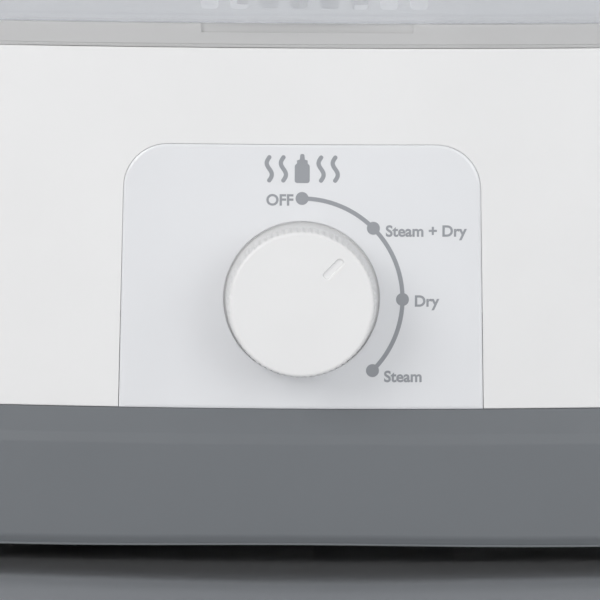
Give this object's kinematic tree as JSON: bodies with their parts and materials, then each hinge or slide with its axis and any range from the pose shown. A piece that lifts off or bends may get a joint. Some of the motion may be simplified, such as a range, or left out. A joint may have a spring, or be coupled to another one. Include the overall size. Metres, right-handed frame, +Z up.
{
  "type": "bottle sterilizer",
  "caption": "Electric steam sterilizer and dryer for baby bottles: dial base with heated dish and blower, bottle rack, accessory tray and tall clear cover.",
  "frame": {"origin": "centre of the bounding box's footprint, on the plane that the feet stand on", "axes": "+Z up, -Y towards the user: the dial and control panel face -Y, the air filter and cable outlet face +Y"},
  "size_m": [0.2938, 0.2276, 0.355],
  "materials": {
    "white_plastic": "fine satin moulding",
    "panel_white": "smooth, cool white, printed",
    "grey_plastic": "satin",
    "frosted_plastic": "translucent, frosted",
    "clear_plastic": "transparent with a faint blue tint",
    "tray_plastic": "satin",
    "steel": "brushed",
    "zinc_steel": "zinc plated",
    "aluminium": "die cast",
    "silicone": "matte silicone",
    "rubber": "matte",
    "black_plastic": "matte",
    "circuit_board": "solder resist",
    "wire": "silicone insulation",
    "foam": "open-cell foam"
  },
  "bodies": {
    "base": {"bottom_housing": "grey_plastic", "foot_front_left": "rubber", "foot_front_right": "rubber", "foot_rear_left": "rubber", "foot_rear_right": "rubber", "housing_screw_front_left": "zinc_steel", "housing_screw_front_right": "zinc_steel", "housing_screw_rear_left": "zinc_steel", "housing_screw_rear_right": "zinc_steel", "cord_gland": "rubber", "body_shell": "white_plastic", "control_panel": "panel_white", "rotary_switch": "black_plastic", "switch_nut": "zinc_steel", "control_board": "circuit_board", "relay": "black_plastic", "terminal_block": "white_plastic", "board_capacitor": "black_plastic", "heater_lead_live": "wire", "heater_lead_neutral": "wire", "blower_lead": "wire", "heating_plate": "steel", "plate_seal": "silicone", "heating_element": "aluminium", "plate_thermostat": "aluminium", "thermal_fuse": "white_plastic", "plate_clamp": "zinc_steel", "clamp_screw_left": "zinc_steel", "clamp_screw_right": "zinc_steel", "blower_housing": "black_plastic", "blower_motor": "zinc_steel", "air_heater": "aluminium", "air_outlet": "white_plastic"},
    "dial": {"dial_knob": "white_plastic", "switch_shaft": "steel"},
    "rotor": {"blower_wheel": "tray_plastic", "blower_axle": "steel"},
    "filter": {"filter_cover": "white_plastic", "air_filter": "foam"},
    "rack": {"bottle_rack": "frosted_plastic", "tray_post_left": "frosted_plastic", "tray_post_right": "frosted_plastic"},
    "tray": {"accessory_tray": "tray_plastic"},
    "cover": {"clear_cover": "clear_plastic", "cover_handle": "white_plastic", "handle_screw_left": "zinc_steel", "handle_screw_right": "zinc_steel"}
  },
  "joints": [
    {"name": "dial_turn", "type": "hinge", "parent": "base", "child": "dial", "pos_m": [0, -0.10037, 0.0623], "axis": [0, 1, 0], "range_deg": [-45, 90]},
    {"name": "fan_spin", "type": "hinge", "parent": "base", "child": "rotor", "pos_m": [0.075, 0.04527, 0.056], "axis": [0, 1, 0], "continuous": true},
    {"name": "filter_pull", "type": "slide", "parent": "base", "child": "filter", "axis": [0, 1, 0], "range_m": [0, 0.045]},
    {"name": "rack_lift", "type": "slide", "parent": "base", "child": "rack", "axis": [0, 0, 1], "range_m": [0, 0.05]},
    {"name": "tray_lift", "type": "slide", "parent": "rack", "child": "tray", "axis": [0, 0, 1], "range_m": [0, 0.06]},
    {"name": "cover_lift", "type": "slide", "parent": "tray", "child": "cover", "axis": [0, 0, 1], "range_m": [0, 0.2]}
  ]
}
